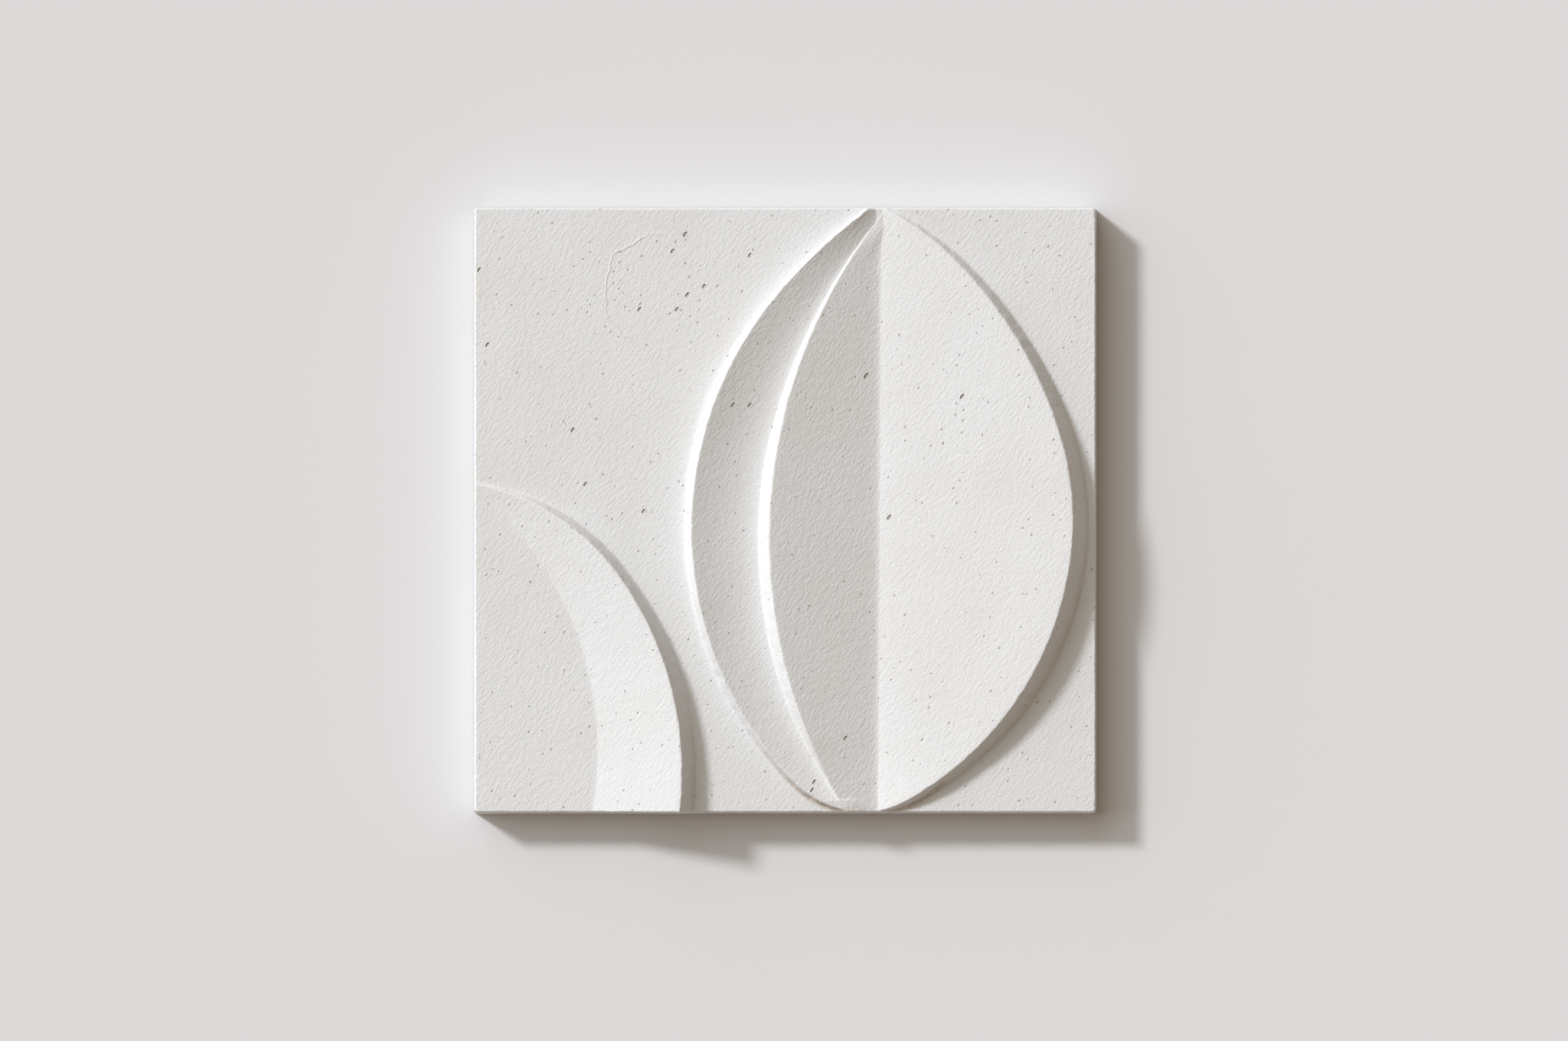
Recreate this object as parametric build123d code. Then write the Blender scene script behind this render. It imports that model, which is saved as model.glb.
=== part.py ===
from build123d import *
import math
import os

# A square relief tile cast in one piece. It lies on its flat back with the relief up.
# X runs across the tile, Y up the design as it hangs, Z out of the face. Millimetres.
# The origin is the middle of the back.

# Slab
TILE_WIDTH = 300.0
TILE_HEIGHT = 292.0
SLAB_THICKNESS = 20.0
PLAN_CORNER_RADIUS = 2.0
MOULD_DRAFT = 2.5          # degrees, on the four sides
FACE_EDGE_RADIUS = 0.7

# Relief
WALL_DRAFT = 27.0          # degrees, on the walls of the leaves
RELIEF_LIMIT = 18.0        # no part of the relief is as high as this
ROOT = 1.0                 # how far each leaf is sunk into the slab
TIP_Y = 144.2              # the large leaf ends here at the top and at the foot

# Large leaf: a midrib, a right half that rises to its edge, and a left half made of an
# inner blade and a cove
MIDRIB_X = 45.1
MIDRIB_LEAN = 0.005        # the midrib's shift to the right for each millimetre up
MIDRIB_HEIGHT = 0.05

# Rise of the right half for each millimetre across, and how it grows towards the foot
RIGHT_RISE = 0.158
RIGHT_RISE_GAIN = 0.0003
RIGHT_RISE_TURN = 0.75
HEEL_RISE = 0.18
HEEL_START = -80.0
HEEL_LENGTH = 50.0
RIB_SWELL = 0.8            # height of a short steeper start beside the midrib
RIB_SWELL_WIDTH = 8.0

# Rise of the blade for each millimetre across, steeper at the top and less steep at the foot
BLADE_RISE = 0.235
BLADE_TIP_RISE = 0.07
BLADE_FOOT_RISE = -0.05
BLADE_TOP_START = 12.0
BLADE_TOP_LENGTH = 124.0
BLADE_FOOT_START = -110.0
BLADE_FOOT_LENGTH = 34.0
INNER_WALL = 11.1          # height of the wall between cove and blade, at the widest place
INNER_WALL_TOP = 136.5     # the wall ends here at the top
INNER_WALL_FOOT = -139.0   # and here at the foot
INNER_WALL_FULL = -16.0    # and is highest here
INNER_WALL_TOP_CURVE = (1.25, 2.3)     # powers of its rise from the top
INNER_WALL_FOOT_CURVE = (3.2, 0.9)     # and of its fall to the foot

COVE_EDGE_HEIGHT = 9.3     # of the cove's outer edge at its crest
COVE_EDGE_TOP = 0.5        # and at its two ends
COVE_EDGE_FOOT = 3.4
COVE_EDGE_TIP_Y = 145.5
COVE_EDGE_CREST = 0.35     # the edge is highest at this share of the length from the top
COVE_EDGE_TOP_CURVE = (3.0, 0.35)      # powers of its rise from the top
COVE_EDGE_FOOT_POWER = 2.6             # and of its fall to the foot
COVE_WALL_TOP = (50.0, 70.0, 0.4)      # the outer wall is steeper at both ends: where that starts,
COVE_WALL_FOOT = (-60.0, 55.0, 0.25)   # over what length, and by what share
COVE_BOW = 1.5             # power of the cove's rise
COVE_STEPS = 4             # straight pieces in the cove's section

# Least widths of the cove, the blade and the inner wall, reached at the tips
TIP_COVE_WIDTH = 1.5
TIP_BLADE_WIDTH = 2.2
TIP_WALL_WIDTH = 0.3
LEAF_SPANS = 18            # between the large leaf's sections

# Edges in plan, each a chain of tangent arcs from the top of the tile down:
# side of its circles, centre and radius of the first, then where each next radius starts
RIGHT_EDGE = (1, (-25.3, 14.5), 150.0,
              [(120.0, 204.4), (37.0, 140.2), (-19.0, 155.0), (-138.0, 60.0)])
COVE_EDGE = (-1, (199.5, -69.5), 267.5, [(105.6, 174.2), (-129.7, 49.3)])
BLADE_EDGE = (-1, (241.4, -13.2), 249.4, [])

# Small leaf: a crescent whose top is part of a wide cone, rising from a curved crease
SMALL_WALL_FOOT = [(-46.5, -165.0), (-43.9, -144.0), (-43.4, -120.0), (-44.9, -100.0), (-49.0, -80.0),
                   (-55.7, -60.0), (-65.9, -40.0), (-84.0, -18.5), (-108.6, 0.0), (-126.3, 8.0),
                   (-148.4, 13.2), (-168.0, 16.0)]
SMALL_CORNER = (-168.0, -165.0)
CREASE_CENTRE = (-255.7, -115.7)
CREASE_RADIUS = 165.5
CRESCENT_SLOPE = 0.32
CONE_REACH = 260.0
CONE_TOP = 60.0


def block(height):
    """The tile's own rectangle with drafted sides, raised to the height given."""
    return extrude(RectangleRounded(TILE_WIDTH, TILE_HEIGHT, PLAN_CORNER_RADIUS), height, taper=MOULD_DRAFT)


def slab():
    """The flat slab, with its front edge rounded."""
    body = block(SLAB_THICKNESS)
    front = body.faces().sort_by(Axis.Z)[-1]
    return fillet(front.edges(), FACE_EDGE_RADIUS)


def edge_x(edge, y, outward=0.0):
    """x of a chain of tangent arcs at the height y, moved outwards by the distance given."""
    side, (cx, cy), radius, joins = edge
    for join_y, next_radius in joins:
        if y > join_y:
            break
        join_x = cx + side * math.sqrt(radius ** 2 - (join_y - cy) ** 2)
        cx = join_x + (cx - join_x) * next_radius / radius
        cy = join_y + (cy - join_y) * next_radius / radius
        radius = next_radius
    return cx + side * math.sqrt((radius + outward) ** 2 - (y - cy) ** 2)


def midrib_x(y):
    """x of the midrib."""
    return MIDRIB_X + MIDRIB_LEAN * y


def right_edge_height(y):
    """Height of the right edge: the rise across times the width, and the swell at the midrib."""
    across = edge_x(RIGHT_EDGE, y) - midrib_x(y)
    start = y + RIGHT_RISE_TURN * across
    heel = max(0.0, HEEL_START - start) / HEEL_LENGTH
    rise = RIGHT_RISE - RIGHT_RISE_GAIN * start + HEEL_RISE * heel ** 2
    return rise * across + RIB_SWELL * (1 - math.exp(-across / RIB_SWELL_WIDTH))


def share_of(distance, length):
    """A distance as a share of a length, from 0 to 1."""
    return min(1.0, max(0.0, distance / length))


def blade_height(y):
    """Height of the blade's outer edge: the rise across times the width."""
    top = share_of(y - BLADE_TOP_START, BLADE_TOP_LENGTH)
    foot = share_of(BLADE_FOOT_START - y, BLADE_FOOT_LENGTH)
    rise = BLADE_RISE + BLADE_TIP_RISE * top ** 2 + BLADE_FOOT_RISE * foot
    return rise * max(midrib_x(y) - edge_x(BLADE_EDGE, y), TIP_BLADE_WIDTH)


def floor_height(y):
    """Height of the cove's low line: the blade's edge less the inner wall."""
    if y > INNER_WALL_FULL:
        power, root = INNER_WALL_TOP_CURVE
        share = share_of(INNER_WALL_TOP - y, INNER_WALL_TOP - INNER_WALL_FULL)
        full = 1 - (1 - share ** power) ** root
    else:
        power, root = INNER_WALL_FOOT_CURVE
        share = share_of(INNER_WALL_FULL - y, INNER_WALL_FULL - INNER_WALL_FOOT)
        full = (1 - share ** power) ** root
    return blade_height(y) - INNER_WALL * full


def cove_edge_height(y):
    """Height of the cove's outer edge: full at its crest, steep to the top tip, slow to the foot."""
    share = (COVE_EDGE_TIP_Y - y) / (2 * COVE_EDGE_TIP_Y)
    if share < COVE_EDGE_CREST:
        power, root = COVE_EDGE_TOP_CURVE
        full = (1 - (1 - share / COVE_EDGE_CREST) ** power) ** root
        return COVE_EDGE_TOP + (COVE_EDGE_HEIGHT - COVE_EDGE_TOP) * full
    full = 1 - ((share - COVE_EDGE_CREST) / (1 - COVE_EDGE_CREST)) ** COVE_EDGE_FOOT_POWER
    return COVE_EDGE_FOOT + (COVE_EDGE_HEIGHT - COVE_EDGE_FOOT) * full


def cove_wall_share(y):
    """How far the outer wall leans at the height y, as a share of the usual draft."""
    start, length, less = COVE_WALL_TOP
    top = less * share_of(y - start, length)
    start, length, less = COVE_WALL_FOOT
    return 1 - top - less * share_of(start - y, length)


def leaf_section(y):
    """The large leaf's section at one height y, from its left wall to its right wall."""
    slope = math.tan(math.radians(WALL_DRAFT))
    cove_edge = cove_edge_height(y)
    floor = floor_height(y)
    blade = blade_height(y) + MIDRIB_HEIGHT
    right = right_edge_height(y)
    outer_x = edge_x(COVE_EDGE, y)
    blade_x = min(edge_x(BLADE_EDGE, y), midrib_x(y) - TIP_BLADE_WIDTH)
    low_x = max(blade_x - max((blade - floor) * slope, TIP_WALL_WIDTH), outer_x + TIP_COVE_WIDTH)
    blade_x = max(blade_x, low_x + TIP_WALL_WIDTH)
    points = [(edge_x(COVE_EDGE, y, (cove_edge + ROOT) * slope * cove_wall_share(y)), -ROOT)]
    for step in range(COVE_STEPS + 1):
        share = 1 - step / COVE_STEPS
        rise = (cove_edge - floor) * share ** COVE_BOW
        points.append((low_x + (outer_x - low_x) * share, floor + rise))
    points.append((blade_x, blade))
    points.append((midrib_x(y), MIDRIB_HEIGHT))
    points.append((edge_x(RIGHT_EDGE, y), right))
    points.append((edge_x(RIGHT_EDGE, y, (right + ROOT) * slope), -ROOT))
    return Wire.make_polygon([Vector(x, y, SLAB_THICKNESS + z) for x, z in points], close=True)


def large_leaf():
    """The large leaf, carried through sections that lie closer together near its tips."""
    heights = [TIP_Y * math.cos(math.pi * span / LEAF_SPANS) for span in range(LEAF_SPANS + 1)]
    return Part() + Solid.make_loft([leaf_section(y) for y in heights])


def small_leaf():
    """The crescent in the lower left corner."""
    foot = Spline([Vector(x, y) for x, y in SMALL_WALL_FOOT])
    back = Polyline([SMALL_WALL_FOOT[-1], SMALL_CORNER, SMALL_WALL_FOOT[0]])
    outline = Pos(0, 0, SLAB_THICKNESS - ROOT) * make_face([foot, back])
    prism = extrude(outline, RELIEF_LIMIT + ROOT, taper=WALL_DRAFT)
    section = Polyline([(0.0, -CRESCENT_SLOPE * CREASE_RADIUS),
                        (CONE_REACH, CRESCENT_SLOPE * (CONE_REACH - CREASE_RADIUS)),
                        (CONE_REACH, CONE_TOP), (0.0, CONE_TOP)], close=True)
    cone = revolve(make_face(Plane.XZ * section), Axis.Z)
    return prism - Pos(CREASE_CENTRE[0], CREASE_CENTRE[1], SLAB_THICKNESS) * cone


def relief_tile():
    """The whole casting as one solid."""
    corner_leaf = block(SLAB_THICKNESS + RELIEF_LIMIT) & small_leaf()
    return slab() + corner_leaf + large_leaf()


tile = relief_tile()
os.makedirs("parts", exist_ok=True)
export_step(tile, "parts/relief_tile.step")
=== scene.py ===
"""A cast plaster wall tile with a leaf in relief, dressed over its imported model."""
import math

import bpy
import numpy as np
from bpy.props import FloatProperty, FloatVectorProperty, PointerProperty
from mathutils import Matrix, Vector


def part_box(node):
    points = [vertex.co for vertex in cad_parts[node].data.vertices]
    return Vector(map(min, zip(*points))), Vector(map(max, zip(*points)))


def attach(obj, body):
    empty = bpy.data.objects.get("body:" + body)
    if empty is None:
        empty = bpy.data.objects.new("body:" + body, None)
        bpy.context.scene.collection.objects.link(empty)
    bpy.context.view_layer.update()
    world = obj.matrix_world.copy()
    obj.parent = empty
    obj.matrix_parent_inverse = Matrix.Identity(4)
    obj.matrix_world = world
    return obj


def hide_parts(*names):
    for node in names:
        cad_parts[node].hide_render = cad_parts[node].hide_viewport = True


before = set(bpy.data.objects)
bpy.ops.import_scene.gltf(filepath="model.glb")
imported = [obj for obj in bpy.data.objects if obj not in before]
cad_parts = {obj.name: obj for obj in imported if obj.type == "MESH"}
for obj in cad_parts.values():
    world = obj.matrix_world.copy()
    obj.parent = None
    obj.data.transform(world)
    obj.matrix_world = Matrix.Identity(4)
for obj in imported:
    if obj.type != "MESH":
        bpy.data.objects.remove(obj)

bl_info = {
    "name": "Relief Tile",
    "version": (1, 0, 0),
    "blender": (4, 5, 0),
    "location": "3D Viewport > Sidebar > Tile",
    "description": "Builds a cast plaster relief tile and the studio it is shown in",
    "category": "Add Mesh",
}

MM = 0.001
NODE = "relief_tile"
TILE_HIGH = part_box(NODE)[1]
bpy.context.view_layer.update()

# Edges of the leaves in plan, in millimetres, each a chain of tangent arcs from the top of
# the tile down: side of its circles, centre and radius of the first, then where each next
# radius starts.
RIGHT_EDGE = (1, (-25.3, 14.5), 150.0, [(120.0, 204.4), (37.0, 140.2), (-19.0, 155.0), (-138.0, 60.0)])
COVE_EDGE = (-1, (199.5, -69.5), 267.5, [(105.6, 174.2), (-129.7, 49.3)])
BLADE_EDGE = (-1, (241.4, -13.2), 249.4, [])
SMALL_EDGE = (1, (-168.5, -93.6), 108.4, [(-26.9, 158.5)])
CREASE = (1, (-255.7, -115.7), 165.5, [])

# Lengths below are in millimetres. A pair is a stretch up the tile or across it: where it
# starts, and its length, which is negative where it runs down the tile or inwards.

# Right half of the large leaf
RIGHT_TURN = 0.75            # its lines of even rise climb by this much to the left
RIGHT_GAIN = 0.25            # its rise grows by this for each metre towards the foot
HEEL_START = -80.0           # below this it rises more
HEEL_LENGTH = 50.0
RIB_SWELL_WIDTH = 8.0        # of its steeper start beside the midrib
RIGHT_WALL_LEAN = 1.1        # its wall leans by this factor more than the wall draft

# Blade
BLADE_TOP = (12.0, 124.0)    # it gets steeper along this stretch
BLADE_FOOT = (-110.0, -34.0)           # and less steep along this one
BLADE_FOOT_LOSS = 0.05
LEAST_BLADE = 2.2            # its edge stays this far off the midrib

# Wall between the blade and the cove
INNER_WALL_FULL = -16.0      # it is highest here
INNER_WALL_TOP = (136.5, -153.0)       # it grows along this stretch from the top
INNER_WALL_TOP_CURVE = (1.25, 2.3)
INNER_WALL_FOOT = (-16.0, -123.0)      # and falls along this one to the foot
INNER_WALL_FOOT_CURVE = (3.2, 0.9)
INNER_LEAN = 0.84            # its lean as a share of the wall draft's, less towards both ends
INNER_LEAN_TOP = (20.0, 90.0)
INNER_LEAN_TOP_LOSS = 0.38
INNER_LEAN_FOOT = (-95.0, -30.0)
INNER_LEAN_FOOT_LOSS = 0.26
FOOT_CRISPNESS = 0.6         # share of the left half's rounding that is lost at the foot

# Cove and its outer wall
COVE_TIP = 145.5             # the cove's edge ends here at the top, and as far down at the foot
COVE_CREST = 0.35            # the edge is highest at this share of its length from the top
COVE_TOP_CURVE = (3.0, 0.35)
COVE_FOOT_POWER = 2.6
COVE_MIDDLE = 43.0           # the edge ends at the height below above this, at the cove foot under it
COVE_TOP_HEIGHT = 0.5
COVE_LEAN = 0.62             # the outer wall's lean as a share of the wall draft's
COVE_LEAN_TOP = (50.0, 90.0)
COVE_LEAN_TOP_LOSS = 0.42
COVE_LEAN_FOOT = (-60.0, -55.0)
COVE_LEAN_FOOT_GAIN = 0.28
COVE_BOW_TOP = (60.0, 70.0)
COVE_BOW_TOP_LOSS = 0.35
COVE_BOW_FOOT = (-60.0, -60.0)
COVE_BOW_FOOT_LOSS = 0.3
COVE_FALL = 20.0             # how fast the cove falls away under the blade
LEAST_COVE = 2.0
FILL_FOOT = (-130.0, 50.0)   # the filling at the outer wall's foot grows along this stretch
FILL_FOOT_LEAST = 0.3
FILL_TOP = (150.0, -90.0)    # and along this one from the top
FILL_TOP_LEAST = 0.2

# Walls, wear and unevenness
CRISP_HEIGHT = 4.0           # a wall lower than this has crisper edges
LEAST_CRISPNESS = 0.12
WEAR_SIZE = 9.0
WEAR_SHARE = 0.4             # of the wear, for one high of the noise, which peaks above one
WAVE_SIZE = 45.0
WAVE_SHARE = 0.5             # of the waviness, likewise
NICK_SIZE = 4.0
NICK_DEPTH = 0.12
NICK_LIMIT = 0.1
NICK_TURN = 0.8              # the nicks grow and fade by a sine over this part of a half turn

# Painted brown shade on the slab's lower and right sides and on the foot of the cove's outer wall, which face
# away from the lamp, and brown smears at the leaf's lower tip
SHADE_WALL_START = (0.0, 0.4)           # out from the cove's edge
SHADE_WALL_END = (3.0, -0.8)
SHADE_WALL_LOW = (-108.0, -30.0)        # down the tile
SHADE_WALL_SHARE = 0.55
SMEAR_X = 32.0
SMEAR_WIDTH = 7.0
SMEAR_LOW = (-140.5, -3.0)
SMEAR_STRIPES = 2.6
SMEAR_SHARE = 0.5
LOWER_SIDE = (-145.0, -0.6)
LOWER_SIDE_SHADE = 0.15
RIGHT_SIDE = (149.0, 0.6)
RIGHT_SIDE_SHADE = 0.1

# Patterns of the material
STAIN_SIZE = 60.0
SMEAR_GRAIN = 2.0
HOLE_DEPTH = 3.0             # of an air hole, for each length of its radius
HOLE_EDGE = 0.4              # part of the largest radius over which a hole gets its full depth
CLOSED_HOLES = 0.2           # share of the cells outside the patch that have no hole
PATCH_HOLES = 0.2            # what the patch adds to each cell's draw, so that all of its cells have one
PATCH_WOBBLE = 12.0          # how far the patch's edge wanders
PATCH_WOBBLE_SIZE = 14.0
PATCH_LINE = 0.7             # half the width of the rim
PATCH_LEFT_RISE = 8.0        # the rim shows round a point this far above the patch's left end,
PATCH_LEFT_WHOLE = 26.0      # whole up to this distance from it
PATCH_LEFT_GONE = 38.0       # and gone at this one
PORE_DEPTH = 1.5
PORE_INNER = -0.35           # a pore's side lies between these distances from its radius
PORE_OUTER = 0.1

# The larger pores: x, y and radius.
LARGE_PORES = [(85, 55, 0.7), (39, 65, 0.8), (50, -3, 0.7), (-48, 133, 0.7), (-54, 125, 0.6),
               (-39, 108, 0.6), (-47, 104, 0.6), (-70, 97, 0.6), (-52, 97, 0.6),
               (-147, 116, 0.6), (-17, 123, 0.6), (-143, 80, 0.6), (-96, 13, 0.6),
               (-68, 0, 0.6), (-102, 39, 0.6), (-25, 51, 0.6), (-17, 51, 0.6), (29, -109, 0.6),
               (14, -130, 0.6), (13, -134, 0.6)]

# Sockets of a mix node that is set to colours
UNDER = 6
OVER = 7
MIXED = 2

# Grid over the face. Columns follow the edges: how many lie between each pair of lines.
ROWS = 360
COLUMNS = (20, 20, 9, 34, 15, 19, 12, 25, 38, 10, 28)
ROW_CROWDING = 0.6           # how much closer the rows lie at the top and the foot
CROWDING = 0.8               # how much closer the columns lie at the edges they follow
LEAST_GAP = 0.4 * MM         # between two lines that would otherwise meet
WALL_MARGIN = 0.8 * MM       # the lines at a wall's foot lie this far out, round its filled corner
SMALL_WALL = 13.0            # height that the grid allows for the small leaf's wall,
SMALL_WALL_GROWTH = (12.0, -60.0)      # reached along this stretch
SMALL_TIP = 15.0             # the grid's lines for the small leaf end here

# Loops round the rim
EDGE_TURNS = (18, 36, 54, 72, 90)      # degrees round the front edge
SIDE_DEPTHS = (0.12, 0.5, 1.0)         # shares of the way down the sides


def in_mm(value, name, description, low=0.0, high=1000.0):
    """A length property with its default written in millimetres."""
    return FloatProperty(name=name, description=description, default=value * MM, min=low * MM, max=high * MM,
                         unit="LENGTH", precision=4)


def in_degrees(value, name, description):
    """An angle property with its default written in degrees."""
    return FloatProperty(name=name, description=description, default=math.radians(value), subtype="ANGLE")


def number(value, name, description):
    """A plain number property."""
    return FloatProperty(name=name, description=description, default=value)


def linear(hex_colour):
    """An sRGB hex colour as linear RGBA."""
    parts = [int(hex_colour[i:i + 2], 16) / 255 for i in (1, 3, 5)]
    return tuple(c / 12.92 if c <= 0.04045 else ((c + 0.055) / 1.055) ** 2.4 for c in parts) + (1.0,)


def colour(hex_colour, name, description):
    """A colour property with its default written as an sRGB hex value."""
    return FloatVectorProperty(name=name, description=description, subtype="COLOR", size=4,
                               default=linear(hex_colour), min=0.0, max=1.0)


class TileSizes(bpy.types.PropertyGroup):
    """Real sizes of the relief."""
    slab: in_mm(20.0, "Slab", "Thickness of the flat slab under the relief")
    edge_radius: in_mm(0.5, "Edge radius", "Rounding of the tile's front edge")
    side_draft: in_mm(1.05, "Side draft", "How far the sides stand out at the back")
    face_shift: in_mm(0.5, "Face shift", "How far up the tile the face's middle lies from the back's")
    corner_radius: in_mm(0.8, "Corner radius", "Rounding of the flat face's corners in plan")
    back_inset: in_mm(0.05, "Back inset", "How far the visible back stays inside the packed box")
    midrib_x: in_mm(45.1, "Midrib", "Distance of the midrib from the tile's middle")
    midrib_lean: number(0.005, "Midrib lean", "Shift of the midrib for each length up")
    crease: in_mm(0.12, "Crease", "Width over which the midrib and the crease are filled")
    rib_swell: in_mm(0.8, "Rib swell", "Height of the steeper start of the right half")
    rib_level: in_mm(1.6, "Rib level", "Width of the soft side of the midrib")
    wall_draft: in_degrees(27.0, "Wall draft", "Slope of the relief's walls from upright")
    arris: in_mm(0.7, "Arris", "Width over which an upper edge of the relief is rounded")
    hollow: in_mm(0.6, "Hollow", "Width over which an inner corner of the relief is filled")
    right_slope: number(0.15, "Right slope", "Rise of the right half across the leaf")
    heel_slope: number(0.12, "Heel slope", "Extra rise of the right half at its foot")
    blade_slope: number(0.235, "Blade slope", "Rise of the inner blade across the leaf")
    blade_tip: number(0.07, "Blade tip slope", "Extra rise of the blade at its top")
    inner_wall: in_mm(11.1, "Inner wall", "Height of the wall between cove and blade")
    cove_edge: in_mm(9.3, "Cove edge", "Height of the cove's outer edge")
    cove_foot: in_mm(2.9, "Cove foot", "Height of the cove's outer edge at the foot")
    cove_hollow: in_mm(1.6, "Cove hollow", "Width over which the foot of the cove's outer wall is filled")
    cove_bow: number(1.42, "Cove bow", "Power of the cove's rise; 1 is straight")
    crescent_slope: number(0.295, "Crescent slope", "Rise of the small leaf from its crease")
    waviness: in_mm(0.10, "Waviness", "Height of the slow unevenness of the surface")
    wear: in_mm(0.25, "Wear", "How far the relief's edges wander")


class PlasterFinish(bpy.types.PropertyGroup):
    """Colours and surface of the casting."""
    body: colour("#E1E1E1", "Plaster", "Clean plaster")
    stain: colour("#D2CABD", "Stain", "Plaster where it is slightly stained")
    # The air hole colour is painted shade: it darkens the inside of the air holes and pores, where shade
    # falls.
    hole_shade: colour("#BCB7AF", "Air hole", "Inside of an air hole")
    # This colour is painted brown shade on the slab's lower and right sides and the cove wall's foot, which
    # face away from the lamp, and brown smears at the leaf's lower tip.
    shade_and_smears: colour("#AC957C", "Dirt", "Dirt on the sides and at the leaf's foot")
    grit: in_mm(0.5, "Grit", "Distance between grains of the rubbed surface")
    grit_depth: in_mm(0.1, "Grit depth", "Depth of the grit")
    stroke_width: in_mm(0.68, "Stroke width", "Width of a brush stroke")
    stroke_length: in_mm(1.7, "Stroke length", "Length of a brush stroke")
    stroke_depth: in_mm(0.12, "Stroke depth", "Depth of the brush strokes")
    stroke_turn: in_degrees(53.0, "Stroke direction", "Direction of the brush strokes, from +X")
    hole_spacing: in_mm(2.4, "Air hole spacing", "Mean distance between air holes")
    hole_radius: in_mm(0.36, "Air hole", "Largest radius of an air hole")
    pore_stretch: number(2.0, "Pore stretch", "Length of a pore over its width")
    patch_x: in_mm(-59.0, "Patch X", "Middle of the patch with a faint rim, across the tile", low=-1000.0)
    patch_y: in_mm(104.0, "Patch Y", "Middle of the patch with a faint rim, up the tile", low=-1000.0)
    patch_radius: in_mm(28.5, "Patch radius", "Radius of the patch")
    patch_rim: in_mm(0.18, "Patch rim", "Height of the faint rim")


class StudioSettings(bpy.types.PropertyGroup):
    """Floor, lamp and camera."""
    floor: colour("#E0DFE0", "Floor", "Pale floor")
    floor_size: in_mm(6000.0, "Floor size", "Width of the floor", high=100000.0)
    lamp_turn: in_degrees(143.0, "Lamp direction", "Direction of the lamp about the vertical, from +X")
    lamp_lean: in_degrees(55.0, "Lamp lean", "Angle of the lamp from straight above")
    lamp_width: in_degrees(9.0, "Lamp width", "Width of the lamp as seen from the tile")
    lamp_strength: number(2.5, "Lamp strength", "Irradiance of the lamp")
    lamp_colour: colour("#F4F9FF", "Lamp colour", "Colour of the lamp and of its halo")
    halo_width: in_degrees(76.0, "Halo width", "Width of the soft light round the lamp")
    halo_strength: number(1.66, "Halo strength", "Irradiance of the halo")
    sky: colour("#FFE9CC", "Sky", "Colour of the soft light all round")
    sky_strength: number(0.272, "Sky strength", "Brightness of the soft light all round")
    camera_height: in_mm(12000.0, "Camera height", "Height of the camera above the face", high=100000.0)
    frame_width: in_mm(753.2, "Frame width", "Width of the picture in the plane of the face")
    frame_x: in_mm(-0.6, "Frame X", "Where the middle of the picture is, across the tile", low=-100.0)
    frame_y: in_mm(-4.5, "Frame Y", "Where the middle of the picture is, up the tile", low=-100.0)


def ramp(place, stretch, least=0.0):
    """Share of the way along a stretch at each place, from the least given up to 1."""
    start, length = stretch
    return np.clip((place - start * MM) / (length * MM), least, 1)


def arcs_of(edge):
    """The circles of an edge, in metres: lists of the lowest y, centre x, centre y and radius.

    Each next centre lies on the line from the join to the last centre, so that the arcs are tangent.
    """
    side, (cx, cy), radius, joins = edge
    circles = []
    for join_y, next_radius in joins:
        circles.append((join_y * MM, cx * MM, cy * MM, radius * MM))
        join_x = cx + side * math.sqrt(radius ** 2 - (join_y - cy) ** 2)
        cx = join_x + (cx - join_x) * next_radius / radius
        cy = join_y + (cy - join_y) * next_radius / radius
        radius = next_radius
    circles.append((-1.0, cx * MM, cy * MM, radius * MM))
    return circles


def circle_at(edge, y):
    """Centre and radius, at each y, of the circle that the edge follows there."""
    circles = arcs_of(edge)
    rank = np.zeros(np.shape(y), int)
    for lowest, *_ in circles[:-1]:
        rank += y < lowest
    table = np.array(circles)
    return table[rank, 1], table[rank, 2], table[rank, 3]


def edge_x(edge, y, outward=0.0):
    """x of an edge at each y: centre plus or minus root(radius squared less height squared)."""
    cx, cy, radius = circle_at(edge, y)
    return cx + edge[0] * np.sqrt(np.maximum((radius + outward) ** 2 - (y - cy) ** 2, 0.0))


def beyond(edge, x, y):
    """Distance outside an edge, and the y of the edge's nearest point.

    It is the distance from the circle's centre less its radius.
    """
    cx, cy, radius = circle_at(edge, y)
    reach = np.hypot(x - cx, y - cy)
    return reach - radius, cy + (y - cy) * radius / np.maximum(reach, 1e-6)


def lower_of(a, b, width):
    """Smooth minimum: the lower of two heights, rounded where they meet."""
    return (a + b - np.sqrt((a - b) ** 2 + width ** 2)) / 2


def upper_of(a, b, width):
    """Smooth maximum: the higher of two heights, filled where they meet."""
    return (a + b + np.sqrt((a - b) ** 2 + width ** 2)) / 2


def waves(x, y, size, seed, count=24):
    """Slow uneven noise about one high: a sum of sines of random direction, about one size long."""
    rng = np.random.default_rng(seed)
    turn = rng.uniform(0, math.tau, count)
    rate = math.tau / size * rng.uniform(0.5, 1.6, count)
    start = rng.uniform(0, math.tau, count)
    total = np.zeros_like(x)
    for angle, speed, phase in zip(turn, rate, start):
        total += np.sin(speed * (x * math.cos(angle) + y * math.sin(angle)) + phase)
    return total / math.sqrt(count)


def midrib_at(sizes, y):
    """x of the midrib, which leans a little to the left towards the foot."""
    return sizes.midrib_x + sizes.midrib_lean * y


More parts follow.
